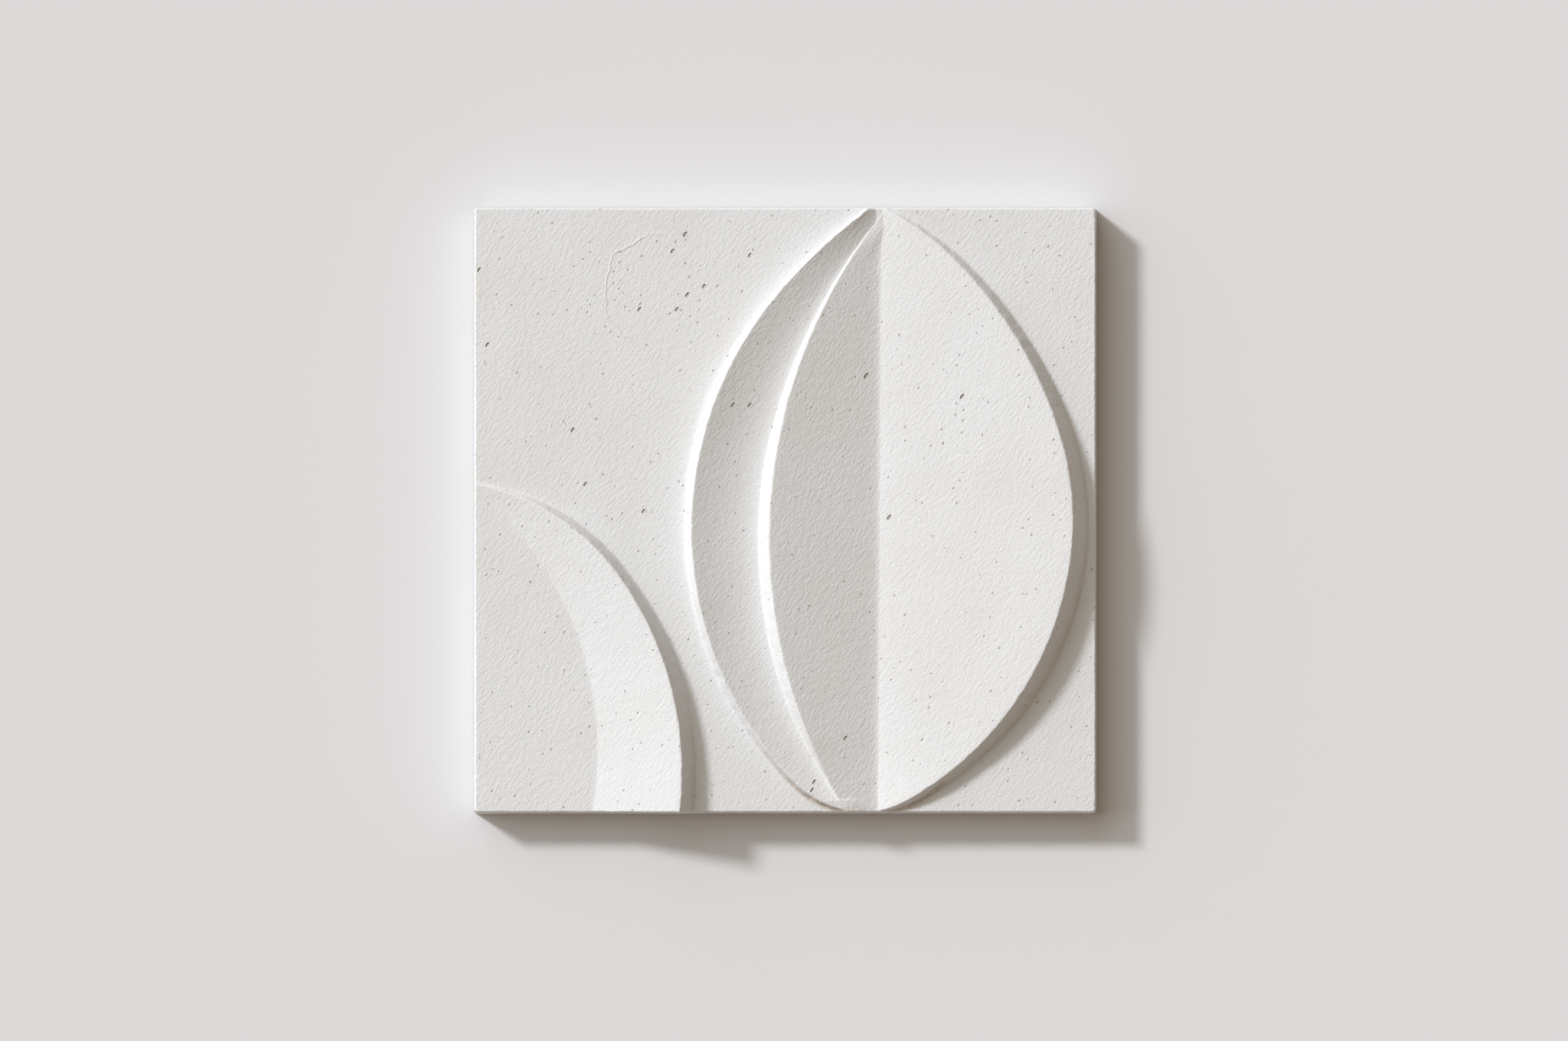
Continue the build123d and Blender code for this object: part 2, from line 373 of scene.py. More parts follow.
def right_slope_at(sizes, x, y):
    """Rise of the right half, greater towards the foot.

    It is even along slanting lines that run up to the left, and each line's rise depends on where
    it meets the midrib.
    """
    start = y + (x - sizes.midrib_x) * RIGHT_TURN
    heel = np.maximum((HEEL_START * MM - start) / (HEEL_LENGTH * MM), 0)
    return sizes.right_slope - RIGHT_GAIN * start + sizes.heel_slope * heel ** 2


def right_face(sizes, x, y):
    """Height of the right half: an even rise, with a short steeper start at the midrib."""
    across = x - midrib_at(sizes, y)
    start = sizes.rib_swell * (1 - np.exp(-np.maximum(across, 0) / (RIB_SWELL_WIDTH * MM)))
    return right_slope_at(sizes, x, y) * across + start


def blade_face(sizes, x, y):
    """Height of the blade: an even rise from the midrib, a little steeper at the top tip.

    Beside the midrib it starts level, so the valley is soft on this side.
    """
    slope = sizes.blade_slope + sizes.blade_tip * ramp(y, BLADE_TOP) ** 2
    slope = slope - BLADE_FOOT_LOSS * ramp(y, BLADE_FOOT)
    across = midrib_at(sizes, y) - x
    level = sizes.rib_level * (1 - np.exp(-np.maximum(across, 0) / sizes.rib_level))
    return slope * (across - level)


def blade_line(sizes, y):
    """x of the blade's outer edge, kept off the midrib at the tips."""
    return np.minimum(edge_x(BLADE_EDGE, y), midrib_at(sizes, y) - LEAST_BLADE * MM)


def blade_crest(sizes, y):
    """Height of the blade's outer edge."""
    return blade_face(sizes, blade_line(sizes, y), y)


def cove_floor(sizes, y):
    """Height of the cove's low line: the blade's edge less the inner wall, which ends at both tips.

    Above its highest place the wall's share of full height is 1 - (1 - share to a power) to
    another, with the share counted from the top, and below it (1 - share to a power) to another.
    """
    power, root = INNER_WALL_TOP_CURVE
    top = 1 - (1 - ramp(y, INNER_WALL_TOP) ** power) ** root
    power, root = INNER_WALL_FOOT_CURVE
    foot = (1 - ramp(y, INNER_WALL_FOOT) ** power) ** root
    return blade_crest(sizes, y) - sizes.inner_wall * np.where(y > INNER_WALL_FULL * MM, top, foot)


def cove_crest(sizes, y):
    """Height of the cove's outer edge: a steep rise from the top tip, then a slow fall to the foot.

    On each side its share of full height is 1 - (share of the way from the crest, to a power),
    and at the top all of that to another power.
    """
    share = np.clip((COVE_TIP * MM - y) / (2 * COVE_TIP * MM), 0.0, 1.0)
    power, root = COVE_TOP_CURVE
    top = (1 - np.clip(1 - share / COVE_CREST, 0, 1) ** power) ** root
    foot = 1 - np.clip((share - COVE_CREST) / (1 - COVE_CREST), 0, 1) ** COVE_FOOT_POWER
    low = np.where(y > COVE_MIDDLE * MM, COVE_TOP_HEIGHT * MM, sizes.cove_foot)
    return low + (sizes.cove_edge - low) * np.where(share < COVE_CREST, top, foot)


def cove_wall_slope(y, slope):
    """Slope of the cove's outer wall, steeper than the other walls but for its foot."""
    top = COVE_LEAN_TOP_LOSS * ramp(y, COVE_LEAN_TOP)
    return slope * (COVE_LEAN - top + COVE_LEAN_FOOT_GAIN * ramp(y, COVE_LEAN_FOOT))


def inner_wall_slope(y, slope):
    """Slope of the wall between blade and cove, steeper at both ends."""
    top = INNER_LEAN_TOP_LOSS * ramp(y, INNER_LEAN_TOP)
    return slope * (INNER_LEAN - top - INNER_LEAN_FOOT_LOSS * ramp(y, INNER_LEAN_FOOT))


def crispness(crest):
    """Share of the usual rounding that a wall of each height gets: low walls are crisper."""
    return np.clip(crest / (CRISP_HEIGHT * MM), LEAST_CRISPNESS, 1)


def under_wall(face, wall, arris, hollow):
    """A face cut off by its wall, the wall running out into the slab: the lower of both."""
    return lower_of(face, upper_of(wall, 0 * wall, hollow), arris)


def right_half(sizes, x, y, slope):
    """The right half of the large leaf, cut off by its wall.

    The wall starts one arris outside the edge, which makes up for the rounding.
    """
    out, foot_y = beyond(RIGHT_EDGE, x, y)
    crest = right_face(sizes, edge_x(RIGHT_EDGE, foot_y), foot_y)
    crisp = crispness(crest)
    arris = sizes.arris * crisp
    wall = crest - (out - arris) / (RIGHT_WALL_LEAN * slope)
    return under_wall(right_face(sizes, x, y), wall, arris, sizes.hollow * crisp)


def left_half(sizes, x, y, slope):
    """The blade with its wall, and the cove with its outer wall.

    The cove rises from its low line to its outer edge by a power of the share across, and falls
    away under the blade.
    """
    floor = cove_floor(sizes, y)
    inner_slope = inner_wall_slope(y, slope)
    crisp = 1 - FOOT_CRISPNESS * ramp(y, INNER_LEAN_FOOT)
    out, foot_y = beyond(BLADE_EDGE, x, y)
    inner_wall = blade_crest(sizes, foot_y) - out / inner_slope
    blade = lower_of(blade_face(sizes, x, y), inner_wall, sizes.arris * crisp)

    low_x = blade_line(sizes, y) - (blade_crest(sizes, y) - floor) * inner_slope
    across = (low_x - x) / np.maximum(low_x - edge_x(COVE_EDGE, y), LEAST_COVE * MM)
    bow = sizes.cove_bow - COVE_BOW_TOP_LOSS * ramp(y, COVE_BOW_TOP)
    bow = bow - COVE_BOW_FOOT_LOSS * ramp(y, COVE_BOW_FOOT)
    rise = np.maximum(cove_crest(sizes, y) - floor, 0) * np.maximum(across, 0) ** bow
    cove = floor + np.where(across > 0, rise, -COVE_FALL * (low_x - x) ** 2)
    both = upper_of(blade, cove, sizes.hollow * crisp)

    out, foot_y = beyond(COVE_EDGE, x, y)
    outer_wall = cove_crest(sizes, foot_y) - out / cove_wall_slope(foot_y, slope)
    fill = sizes.cove_hollow * ramp(y, FILL_FOOT, FILL_FOOT_LEAST) * ramp(y, FILL_TOP, FILL_TOP_LEAST)
    return under_wall(both, outer_wall, sizes.arris, fill)


def crescent(sizes, x, y):
    """Height of the small leaf's face: a cone about the crease's centre."""
    _, (cx, cy), radius, _ = CREASE
    return sizes.crescent_slope * (np.hypot(x - cx * MM, y - cy * MM) - radius * MM)


def small_leaf(sizes, x, y, slope):
    """The crescent that rises from the crease, cut off by its wall."""
    out, foot_y = beyond(SMALL_EDGE, x, y)
    crest = crescent(sizes, edge_x(SMALL_EDGE, foot_y), foot_y)
    crisp = crispness(crest)
    return under_wall(crescent(sizes, x, y), crest - out / slope, sizes.arris * crisp, sizes.hollow * crisp)


def relief(sizes, x, y):
    """Height of the face over the slab's back: the higher of the two leaves, worn and a little wavy."""
    slope = math.tan(sizes.wall_draft)
    worn_x = x + WEAR_SHARE * sizes.wear * waves(x, y, WEAR_SIZE * MM, 3)
    worn_y = y + WEAR_SHARE * sizes.wear * waves(x, y, WEAR_SIZE * MM, 4)
    left = left_half(sizes, worn_x, worn_y, slope)
    large = upper_of(left, right_half(sizes, worn_x, worn_y, slope), sizes.crease)
    small = upper_of(small_leaf(sizes, worn_x, worn_y, slope), np.zeros_like(x), sizes.crease)
    wavy = WAVE_SHARE * sizes.waviness * waves(x, y, WAVE_SIZE * MM, 1)
    return sizes.slab + np.maximum(large, small) + wavy


def crowded(count):
    """Shares from 0 up to but not including 1, closer together near both ends."""
    u = np.arange(count) / count
    return u - CROWDING * np.sin(math.tau * u) / math.tau


def face_lines(sizes, y, half_x):
    """x, at each y, of the lines that the grid's columns follow, from left to right.

    Each is kept a least gap from its neighbours, so that none cross.
    """
    slope = math.tan(sizes.wall_draft)
    small_drop = SMALL_WALL * MM * ramp(y, SMALL_WALL_GROWTH) ** 0.5
    right_drop = right_face(sizes, edge_x(RIGHT_EDGE, y), y)
    cove_wall = cove_crest(sizes, y) * cove_wall_slope(y, slope)
    inner_wall = (blade_crest(sizes, y) - cove_floor(sizes, y)) * inner_wall_slope(y, slope)
    lines = [
        np.full_like(y, -half_x),
        edge_x(CREASE, y),
        edge_x(SMALL_EDGE, y),
        edge_x(SMALL_EDGE, y, small_drop * slope),
        edge_x(COVE_EDGE, y, cove_wall + WALL_MARGIN),
        edge_x(COVE_EDGE, y),
        blade_line(sizes, y) - inner_wall - WALL_MARGIN,
        blade_line(sizes, y),
        midrib_at(sizes, y),
        edge_x(RIGHT_EDGE, y),
        edge_x(RIGHT_EDGE, y, right_drop * slope),
        np.full_like(y, half_x),
    ]
    small_ends = y > SMALL_TIP * MM
    for index in (1, 2, 3):
        lines[index] = np.where(small_ends | ~np.isfinite(lines[index]), -half_x, lines[index])
    for index in range(1, len(lines)):
        lines[index] = np.maximum(lines[index], lines[index - 1] + LEAST_GAP)
    lines[-1] = np.full_like(y, half_x)
    for index in range(len(lines) - 2, 0, -1):
        lines[index] = np.minimum(lines[index], lines[index + 1] - LEAST_GAP)
    return lines


def face_grid(sizes, half_x, half_y):
    """x and y of the face's grid, whose columns follow the relief's edges from top to foot."""
    share = np.linspace(0, 1, ROWS)
    share = share - ROW_CROWDING * np.sin(math.tau * share) / math.tau
    y = half_y * (1 - 2 * share) + sizes.face_shift
    lines = face_lines(sizes, y, half_x)
    strips = []
    for left, right, count in zip(lines, lines[1:], COLUMNS):
        strips.append(left[:, None] + (right - left)[:, None] * crowded(count)[None])
    strips.append(lines[-1][:, None])
    x = np.concatenate(strips, axis=1)
    return x, np.repeat(y[:, None], x.shape[1], axis=1) - sizes.face_shift


def rounded_corners(x, y, half_x, half_y, radius):
    """Pulls the grid's four corners onto quarter circles.

    A point a and b into a corner square goes to the same direction at distance max(a, b).
    """
    a = np.abs(x) - (half_x - radius)
    b = np.abs(y) - (half_y - radius)
    inside = (a > 0) & (b > 0)
    scale = np.where(inside, np.maximum(a, b) / np.maximum(np.hypot(a, b), 1e-9), 1.0)
    new_x = np.where(inside, np.sign(x) * (half_x - radius + a * scale), x)
    new_y = np.where(inside, np.sign(y) * (half_y - radius + b * scale), y)
    return new_x, new_y


def rim_normals(x, y, half_x, half_y, radius):
    """Outward direction in plan at each point of the face's rim: away from the corner's centre."""
    a = np.maximum(np.abs(x) - (half_x - radius), 0) * np.sign(x)
    b = np.maximum(np.abs(y) - (half_y - radius), 0) * np.sign(y)
    length = np.maximum(np.hypot(a, b), 1e-9)
    return a / length, b / length


def rim_steps(sizes):
    """Loops from the face's rim to the back: how far out, how far down, and share of the depth.

    The first go round the front edge by a quarter circle, the rest down the drafted side.
    """
    radius = sizes.edge_radius
    steps = [(radius * math.sin(turn), radius * (1 - math.cos(turn)), 0.0) for turn in np.radians(EDGE_TURNS)]
    steps += [(radius + sizes.side_draft * depth, radius * (1 - depth), depth) for depth in SIDE_DEPTHS]
    return steps


def casting_mesh(sizes):
    """Vertices and faces of the whole closed casting.

    The face is a grid. Round its rim run loops that turn over the front edge by a quarter circle
    and go down the sides to the back, which is one fan.
    """
    inset = sizes.back_inset + sizes.edge_radius + sizes.side_draft
    half_x = TILE_HIGH.x - inset
    half_y = TILE_HIGH.y - inset
    x, y = face_grid(sizes, half_x, half_y)
    x, y = rounded_corners(x, y, half_x, half_y, sizes.corner_radius)
    y = y + sizes.face_shift
    z = relief(sizes, x, y)
    rows, columns = x.shape
    grid = np.arange(rows * columns).reshape(rows, columns)
    quads = np.stack([grid[1:, :-1], grid[1:, 1:], grid[:-1, 1:], grid[:-1, :-1]], axis=-1).reshape(-1, 4)
    rim = np.concatenate([grid[:-1, 0], grid[-1, :-1], grid[:0:-1, -1], grid[0, :0:-1]])
    rim_x = x.ravel()[rim]
    rim_y = y.ravel()[rim]
    rim_z = z.ravel()[rim]
    out_x, out_y = rim_normals(rim_x, rim_y - sizes.face_shift, half_x, half_y, sizes.corner_radius)
    nicks = NICK_DEPTH * MM * waves(rim_x, rim_y, NICK_SIZE * MM, 7)

    loops = [rim]
    points = [np.stack([x.ravel(), y.ravel(), z.ravel()], axis=1)]
    count = rows * columns
    for outward, down, depth in rim_steps(sizes):
        nick = np.minimum(nicks * (1 - depth), NICK_LIMIT * MM)
        reach = outward + nick * math.sin(math.pi * min(1.0, outward / sizes.edge_radius) * NICK_TURN)
        level = (rim_z - down) * (1 - depth)
        back = sizes.face_shift * depth
        points.append(np.stack([rim_x + out_x * reach, rim_y + out_y * reach - back, level], axis=1))
        loops.append(np.arange(count, count + len(rim)))
        count += len(rim)
    for upper, lower in zip(loops, loops[1:]):
        band = np.stack([upper, lower, np.roll(lower, -1), np.roll(upper, -1)], axis=1)
        quads = np.concatenate([quads, band])
    points.append(np.zeros((1, 3)))
    last = loops[-1]
    fan = np.stack([last, np.full_like(last, count), np.roll(last, -1)], axis=1)
    points = np.concatenate(points)
    return points, quads, fan, shade_and_smears_at(sizes, *points.T)


def shade_and_smears_at(sizes, x, y, z):
    """Share of painted brown shade and of brown smears at each point, 0 to 1.

    Painted shade lies on the foot of the cove's outer wall, more of it the lower down, and on the
    lower and right sides of the slab, which face away from the lamp. Brown smears lie at the leaf's lower
    tip.
    """
    out, _ = beyond(COVE_EDGE, x, y)
    wall = ramp(out, SHADE_WALL_START) * ramp(out, SHADE_WALL_END)
    smear = np.exp(-((x - SMEAR_X * MM) / (SMEAR_WIDTH * MM)) ** 2) * ramp(y, SMEAR_LOW)
    smear *= 0.5 + 0.5 * np.sin(math.tau * (x + 0.5 * y) / (SMEAR_STRIPES * MM))
    on_leaf = np.maximum(SHADE_WALL_SHARE * wall * ramp(y, SHADE_WALL_LOW), SMEAR_SHARE * smear)
    on_face = np.where(z > sizes.slab - sizes.edge_radius, on_leaf, 0)
    # Painted brown shade on the lower and right sides of the slab, which face away from the lamp.
    return on_face + LOWER_SIDE_SHADE * ramp(y, LOWER_SIDE) + RIGHT_SIDE_SHADE * ramp(x, RIGHT_SIDE)


def make_mesh(name, points, quads, fan):
    """A mesh object of quads and triangles, put in with whole arrays."""
    mesh = bpy.data.meshes.new(name)
    mesh.vertices.add(len(points))
    mesh.vertices.foreach_set("co", points.astype(np.float32).ravel())
    corners = np.concatenate([quads.ravel(), fan.ravel()])
    sides = np.concatenate([np.full(len(quads), 4), np.full(len(fan), 3)])
    mesh.loops.add(len(corners))
    mesh.loops.foreach_set("vertex_index", corners.astype(np.int32))
    mesh.polygons.add(len(sides))
    mesh.polygons.foreach_set("loop_start", (np.cumsum(sides) - sides).astype(np.int32))
    mesh.polygons.foreach_set("use_smooth", np.ones(len(sides), bool))
    mesh.update(calc_edges=True)
    mesh.validate()
    piece = bpy.data.objects.new(name, mesh)
    bpy.context.scene.collection.objects.link(piece)
    return piece


def add_node(tree, kind, links=(), **settings):
    """Adds one node: settings by name, sockets by name with value, and links as socket to output."""
    node = tree.nodes.new(kind)
    sockets = settings.pop("values", {})
    for key, value in settings.items():
        setattr(node, key, value)
    for key, value in sockets.items():
        node.inputs[key].default_value = value
    for key, output in links:
        tree.links.new(output, node.inputs[key])
    return node


def start_material(name):
    """An empty material with its output and one Principled shader."""
    material = bpy.data.materials.new(name)
    material.use_nodes = True
    tree = material.node_tree
    tree.nodes.clear()
    shader = add_node(tree, "ShaderNodeBsdfPrincipled")
    add_node(tree, "ShaderNodeOutputMaterial", [("Surface", shader.outputs["BSDF"])])
    return material, tree, shader


def cast_plaster(finish):
    """Casting plaster, brushed and rubbed while damp.

    It is dead matt and nearly white. Low light picks out fine grit and slanting brush strokes,
    small air holes, a patch with a faint rim and soft stains. Painted shade darkens the air holes
    and pores, and painted brown shade lies on the shaded sides and the foot of the cove's outer
    wall, with brown smears at the leaf's lower tip.
    """
    material, tree, shader = start_material("cast_plaster_brushed")
    place = add_node(tree, "ShaderNodeTexCoord").outputs["Object"]
    flat = add_node(tree, "ShaderNodeVectorMath", [(0, place)], operation="MULTIPLY",
                    values={1: (1.0, 1.0, 0.0)}).outputs[0]
    strokes = brush_strokes(tree, finish, place)
    rim, inside = patch_masks(tree, finish, flat)
    hole = air_holes(tree, finish, stretched(tree, finish, place, finish.pore_stretch), inside)
    pore = large_pores(tree, finish, stretched(tree, finish, flat, finish.pore_stretch))

    height = add_node(tree, "ShaderNodeBump", [("Height", strokes)],
                      values={"Strength": 1.0, "Distance": finish.stroke_depth * 2})
    for mask, depth, invert in ((rim, finish.patch_rim, False),
                                (hole, HOLE_DEPTH * finish.hole_radius, True),
                                (pore, PORE_DEPTH * MM, True)):
        height = add_node(tree, "ShaderNodeBump", [("Height", mask), ("Normal", height.outputs[0])],
                          invert=invert, values={"Strength": 1.0, "Distance": depth})

    # Each colour is laid over the ones before it, the first over the clean plaster: the stains,
    # then painted brown shade and smears, then painted shade in the air holes and in the pores.
    below = []
    for mask, shade in ((stain_mask(tree, place), finish.stain), (shade_and_smears_mask(tree, place), finish.shade_and_smears),
                        (hole, finish.hole_shade), (pore, finish.hole_shade)):
        mix = add_node(tree, "ShaderNodeMix", [("Factor", mask)] + below, data_type="RGBA",
                       values={UNDER: finish.body, OVER: shade})
        below = [(UNDER, mix.outputs[MIXED])]
    tree.links.new(mix.outputs[MIXED], shader.inputs["Base Color"])
    tree.links.new(height.outputs[0], shader.inputs["Normal"])
    shader.inputs["Roughness"].default_value = 0.92
    shader.inputs["IOR"].default_value = 1.52
    shader.inputs["Specular IOR Level"].default_value = 0.3
    return material


def stain_mask(tree, place):
    """Large soft stains, up to a fifth of full strength."""
    stains = add_node(tree, "ShaderNodeTexNoise", [("Vector", place)],
                      values={"Scale": 1 / (STAIN_SIZE * MM), "Detail": 4.0, "Roughness": 0.55})
    share = add_node(tree, "ShaderNodeMapRange", [("Value", stains.outputs["Fac"])],
                     values={"From Min": 0.45, "From Max": 0.75, "To Min": 0.0, "To Max": 0.2})
    return share.outputs[0]


def shade_and_smears_mask(tree, place):
    """The mesh's share of painted brown shade and smears, broken up by a fine smear."""
    smear = add_node(tree, "ShaderNodeTexNoise", [("Vector", place)],
                     values={"Scale": 1 / (SMEAR_GRAIN * MM), "Detail": 3.0, "Roughness": 0.6})
    smeared = add_node(tree, "ShaderNodeMapRange", [("Value", smear.outputs["Fac"])],
                       values={"From Min": 0.3, "From Max": 0.6, "To Min": 0.35, "To Max": 1.0})
    shade_and_smears = add_node(tree, "ShaderNodeAttribute", attribute_name="shade_and_smears")
    shade_and_smear_share = add_node(tree, "ShaderNodeMath", [(0, shade_and_smears.outputs["Fac"]), (1, smeared.outputs[0])],
                     operation="MULTIPLY")
    return shade_and_smear_share.outputs[0]


def stretched(tree, finish, place, stretch):
    """The place, turned along the brush strokes so that a pattern on it is drawn out that way."""
    turned = add_node(tree, "ShaderNodeMapping", [("Vector", place)], vector_type="TEXTURE",
                      values={"Rotation": (0.0, 0.0, finish.stroke_turn), "Scale": (stretch, 1.0, 1.0)})
    return turned.outputs[0]


def brush_strokes(tree, finish, place):
    """Height of the surface: long thin noise along the strokes, and fine even grit.

    Each cell of a noise is two strokes or two grains wide. The real grit is finer than half a
    millimetre, and is drawn that coarse because the picture shows nothing finer.
    """
    turned = stretched(tree, finish, place, finish.stroke_length / finish.stroke_width)
    strokes = add_node(tree, "ShaderNodeTexNoise", [("Vector", turned)],
                       values={"Scale": 1 / finish.stroke_width / 2, "Detail": 2.0, "Roughness": 0.5})
    grit = add_node(tree, "ShaderNodeTexNoise", [("Vector", place)],
                    values={"Scale": 1 / finish.grit / 2, "Detail": 2.0, "Roughness": 0.6})
    share = finish.grit_depth / finish.stroke_depth
    both = add_node(tree, "ShaderNodeMath", [(0, grit.outputs["Fac"]), (2, strokes.outputs["Fac"])],
                    operation="MULTIPLY_ADD", values={1: share})
    return both.outputs[0]


def patch_masks(tree, finish, flat):
    """The faint rim on the left of a round patch, and the patch's inside, both 0 to 1.

    The patch is a circle whose radius wanders by a slow noise.
    """
    wobble = add_node(tree, "ShaderNodeTexNoise", [("Vector", flat)],
                      values={"Scale": 1 / (PATCH_WOBBLE_SIZE * MM), "Detail": 2.0, "Roughness": 0.6})
    reach = add_node(tree, "ShaderNodeVectorMath", [(0, flat)], operation="DISTANCE",
                     values={1: (finish.patch_x, finish.patch_y, 0.0)})
    bent = add_node(tree, "ShaderNodeMath", [(0, wobble.outputs["Fac"]), (2, reach.outputs["Value"])],
                    operation="MULTIPLY_ADD", values={1: PATCH_WOBBLE * MM})
    out = add_node(tree, "ShaderNodeMath", [(0, bent.outputs[0])], operation="SUBTRACT",
                   values={1: finish.patch_radius + PATCH_WOBBLE * MM / 2})
    gap = add_node(tree, "ShaderNodeMath", [(0, out.outputs[0])], operation="ABSOLUTE")
    line = add_node(tree, "ShaderNodeMapRange", [("Value", gap.outputs[0])],
                    values={"From Min": 0.0, "From Max": PATCH_LINE * MM, "To Min": 1.0, "To Max": 0.0})
    left_end = (finish.patch_x - finish.patch_radius, finish.patch_y + PATCH_LEFT_RISE * MM, 0.0)
    left = add_node(tree, "ShaderNodeVectorMath", [(0, flat)], operation="DISTANCE", values={1: left_end})
    near = add_node(tree, "ShaderNodeMapRange", [("Value", left.outputs["Value"])],
                    values={"From Min": PATCH_LEFT_WHOLE * MM, "From Max": PATCH_LEFT_GONE * MM,
                            "To Min": 1.0, "To Max": 0.0})
    rim = add_node(tree, "ShaderNodeMath", [(0, line.outputs[0]), (1, near.outputs[0])], operation="MULTIPLY")
    inside = add_node(tree, "ShaderNodeMapRange", [("Value", out.outputs[0])],
                      values={"From Min": -PATCH_WOBBLE * MM / 2, "From Max": 0.0,
                              "To Min": 1.0, "To Max": 0.0})
    return rim.outputs[0], inside.outputs[0]


def air_holes(tree, finish, place, inside):
    """Small air holes, 1 inside them: cells of many sizes, more of them open in the patch."""
    cells = add_node(tree, "ShaderNodeTexVoronoi", [("Vector", place)],
                     values={"Scale": 1 / finish.hole_spacing, "Randomness": 1.0})
    pick = add_node(tree, "ShaderNodeSeparateColor", [("Color", cells.outputs["Color"])])
    open_share = add_node(tree, "ShaderNodeMath", [(0, inside), (2, pick.outputs["Red"])],
                          operation="MULTIPLY_ADD", values={1: PATCH_HOLES})
    largest = finish.hole_radius / finish.hole_spacing
    radius = add_node(tree, "ShaderNodeMapRange", [("Value", open_share.outputs[0])],
                      values={"From Min": CLOSED_HOLES, "From Max": 1.0, "To Min": 0.0, "To Max": largest})
    gap = add_node(tree, "ShaderNodeMath", [(0, radius.outputs[0]), (1, cells.outputs["Distance"])],
                   operation="SUBTRACT")
    hole = add_node(tree, "ShaderNodeMapRange", [("Value", gap.outputs[0])],
                    values={"From Min": 0.0, "From Max": HOLE_EDGE * largest})
    return hole.outputs[0]


def large_pores(tree, finish, turned):
    """The few larger pores, 1 inside them: the least distance to any of their edges.

    The place comes in turned along the brush strokes and stretched, so each centre is too.
    """
    across = math.cos(finish.stroke_turn)
    up = math.sin(finish.stroke_turn)
    nearest = None
    for x, y, radius in LARGE_PORES:
        centre = ((x * across + y * up) * MM / finish.pore_stretch, (y * across - x * up) * MM, 0.0)
        reach = add_node(tree, "ShaderNodeVectorMath", [(0, turned)], operation="DISTANCE",
                         values={1: centre})
        edge = add_node(tree, "ShaderNodeMath", [(0, reach.outputs["Value"])], operation="SUBTRACT",
                        values={1: radius * MM})
        if nearest:
            edge = add_node(tree, "ShaderNodeMath", [(0, edge.outputs[0]), (1, nearest.outputs[0])],
                            operation="MINIMUM")
        nearest = edge
    pore = add_node(tree, "ShaderNodeMapRange", [("Value", nearest.outputs[0])],
                    values={"From Min": PORE_INNER * MM, "From Max": PORE_OUTER * MM,
                            "To Min": 1.0, "To Max": 0.0})
    return pore.outputs[0]


def painted_floor(settings):
    """Matt white painted board: plain and pale, so the tile's shadow shows on it."""
    material, _, shader = start_material("painted_board_matt")
    shader.inputs["Base Color"].default_value = settings.floor
    shader.inputs["Roughness"].default_value = 0.95
    shader.inputs["Specular IOR Level"].default_value = 0.2
    return material


def add_lamps(scene, settings):
    """A lamp and the wider halo round it, both far off in the same direction."""
    lean = settings.lamp_lean
    turn = settings.lamp_turn
    towards = Vector((math.sin(lean) * math.cos(turn), math.sin(lean) * math.sin(turn), math.cos(lean)))
    for name, strength, width in (("window", settings.lamp_strength, settings.lamp_width),
                                  ("halo", settings.halo_strength, settings.halo_width)):
        lamp = bpy.data.lights.new(name, "SUN")
        lamp.energy = strength
        lamp.angle = width
        lamp.color = settings.lamp_colour[:3]
        lamp_object = bpy.data.objects.new(name, lamp)
        scene.collection.objects.link(lamp_object)
        lamp_object.rotation_euler = towards.to_track_quat("Z", "Y").to_euler()


def add_sky(scene, settings):
    """The soft light all round."""
    world = bpy.data.worlds.new("soft_light")
    world.use_nodes = True
    background = world.node_tree.nodes["Background"]
    background.inputs["Color"].default_value = settings.sky
    background.inputs["Strength"].default_value = settings.sky_strength
    scene.world = world


def add_camera(scene, settings):
    """A long lens straight above the tile, so that its sides hardly show."""
    camera = bpy.data.cameras.new("camera")
    camera.sensor_width = 36.0
    camera.lens = camera.sensor_width * settings.camera_height / settings.frame_width
    camera.clip_end = 100.0
    camera_object = bpy.data.objects.new("camera", camera)
    scene.collection.objects.link(camera_object)
    height = scene.tile_sizes.slab + settings.camera_height
    camera_object.location = (settings.frame_x, settings.frame_y, height)
    scene.camera = camera_object


class MESH_OT_relief_tile(bpy.types.Operator):
    """Builds the casting: slab, large leaf and small leaf in one piece"""
    bl_idname = "mesh.relief_tile"
    bl_label = "Relief tile"
    bl_options = {"REGISTER", "UNDO"}

    def execute(self, context):
        scene = context.scene
        points, quads, fan, shade_and_smears = casting_mesh(scene.tile_sizes)
        piece = make_mesh("plaster_casting", points, quads, fan)
        shares = piece.data.attributes.new("shade_and_smears", "FLOAT", "POINT")
        shares.data.foreach_set("value", shade_and_smears.astype(np.float32))
        piece.data.materials.append(cast_plaster(scene.plaster_finish))
        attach(piece, "root")
        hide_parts(NODE)
        return {"FINISHED"}


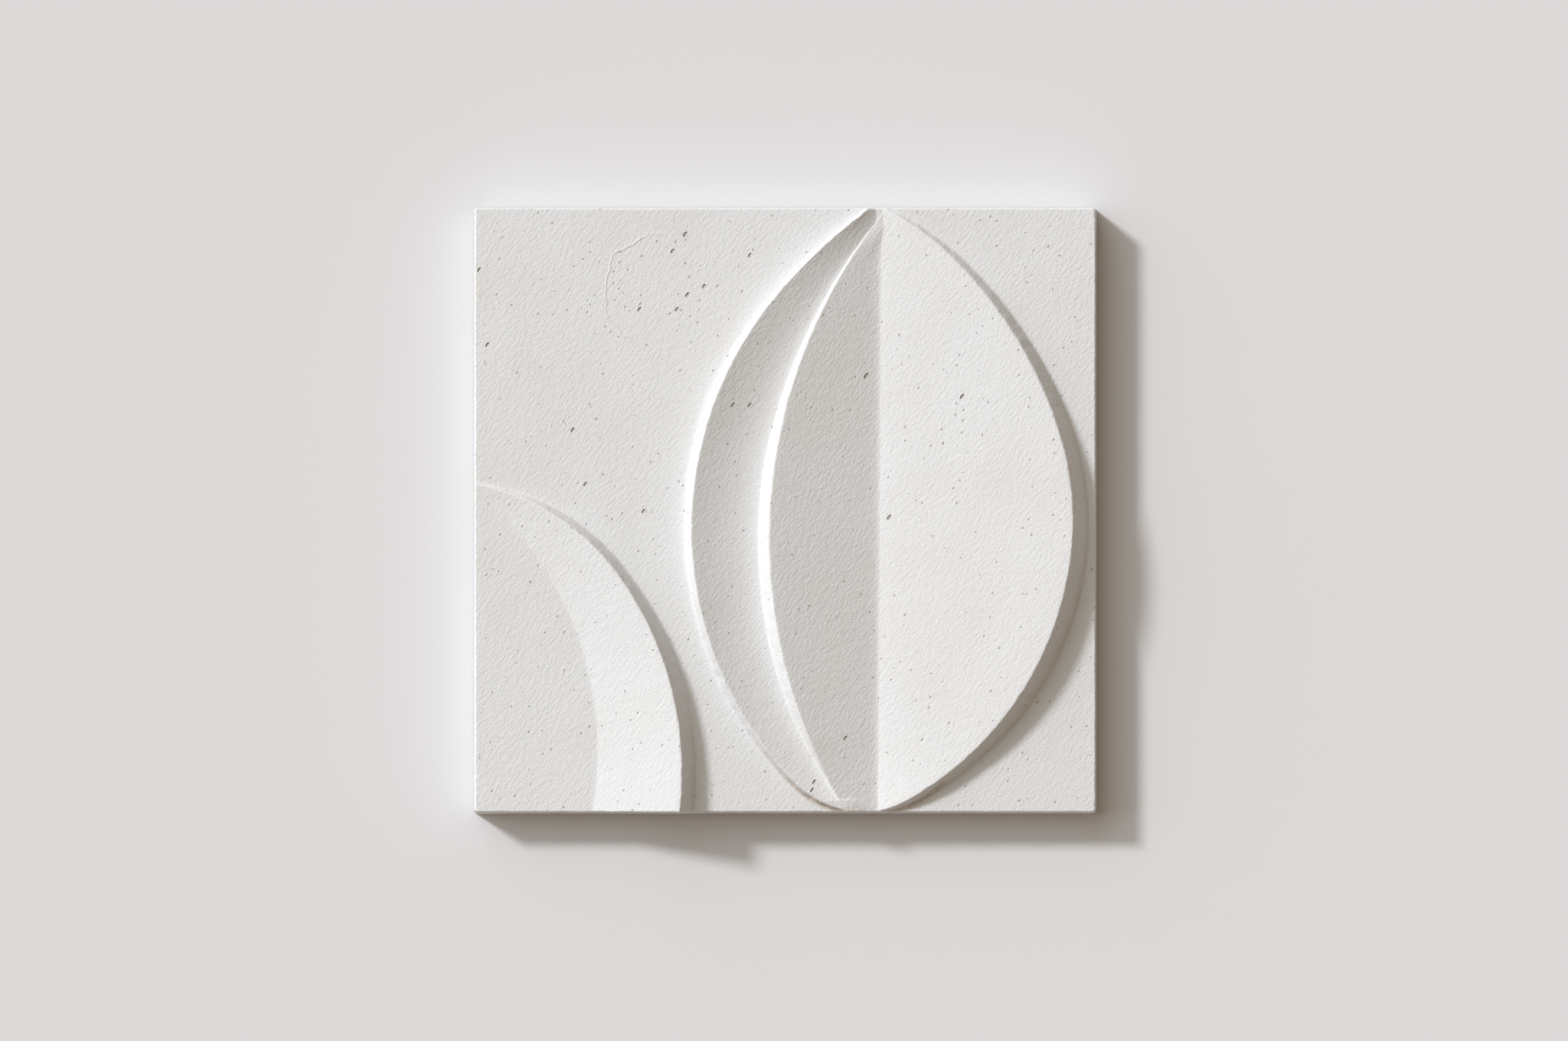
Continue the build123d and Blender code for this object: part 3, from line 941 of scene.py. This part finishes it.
class SCENE_OT_tile_studio(bpy.types.Operator):
    """Sets the floor, the lamp, the sky and the camera"""
    bl_idname = "scene.tile_studio"
    bl_label = "Studio"
    bl_options = {"REGISTER", "UNDO"}

    def execute(self, context):
        scene = context.scene
        settings = scene.tile_studio
        half = settings.floor_size / 2
        corners = np.array([[-half, -half, 0], [half, -half, 0], [half, half, 0], [-half, half, 0]])
        floor = make_mesh("floor", corners, np.array([[0, 1, 2, 3]]), np.zeros((0, 3), int))
        floor.data.materials.append(painted_floor(settings))
        add_lamps(scene, settings)
        add_sky(scene, settings)
        add_camera(scene, settings)
        scene.view_settings.view_transform = "Standard"
        return {"FINISHED"}


class VIEW3D_PT_relief_tile(bpy.types.Panel):
    """Sizes, colours and the buttons that build each piece"""
    bl_idname = "VIEW3D_PT_relief_tile"
    bl_label = "Relief Tile"
    bl_space_type = "VIEW_3D"
    bl_region_type = "UI"
    bl_category = "Tile"

    def draw(self, context):
        layout = self.layout
        scene = context.scene
        for group in (scene.tile_sizes, scene.plaster_finish, scene.tile_studio):
            column = layout.column(align=True)
            for name in group.__annotations__:
                column.prop(group, name)
        layout.operator(MESH_OT_relief_tile.bl_idname)
        layout.operator(SCENE_OT_tile_studio.bl_idname)


CLASSES = (TileSizes, PlasterFinish, StudioSettings, MESH_OT_relief_tile, SCENE_OT_tile_studio,
           VIEW3D_PT_relief_tile)


def register():
    """Adds the classes and the scene's three groups of settings."""
    for item in CLASSES:
        bpy.utils.register_class(item)
    bpy.types.Scene.tile_sizes = PointerProperty(type=TileSizes)
    bpy.types.Scene.plaster_finish = PointerProperty(type=PlasterFinish)
    bpy.types.Scene.tile_studio = PointerProperty(type=StudioSettings)


def unregister():
    """Takes away what register adds."""
    del bpy.types.Scene.tile_studio
    del bpy.types.Scene.plaster_finish
    del bpy.types.Scene.tile_sizes
    for item in reversed(CLASSES):
        bpy.utils.unregister_class(item)


def main():
    """Builds the tile and its studio."""
    register()
    bpy.ops.mesh.relief_tile()
    bpy.ops.scene.tile_studio()


if __name__ == "__main__":
    main()
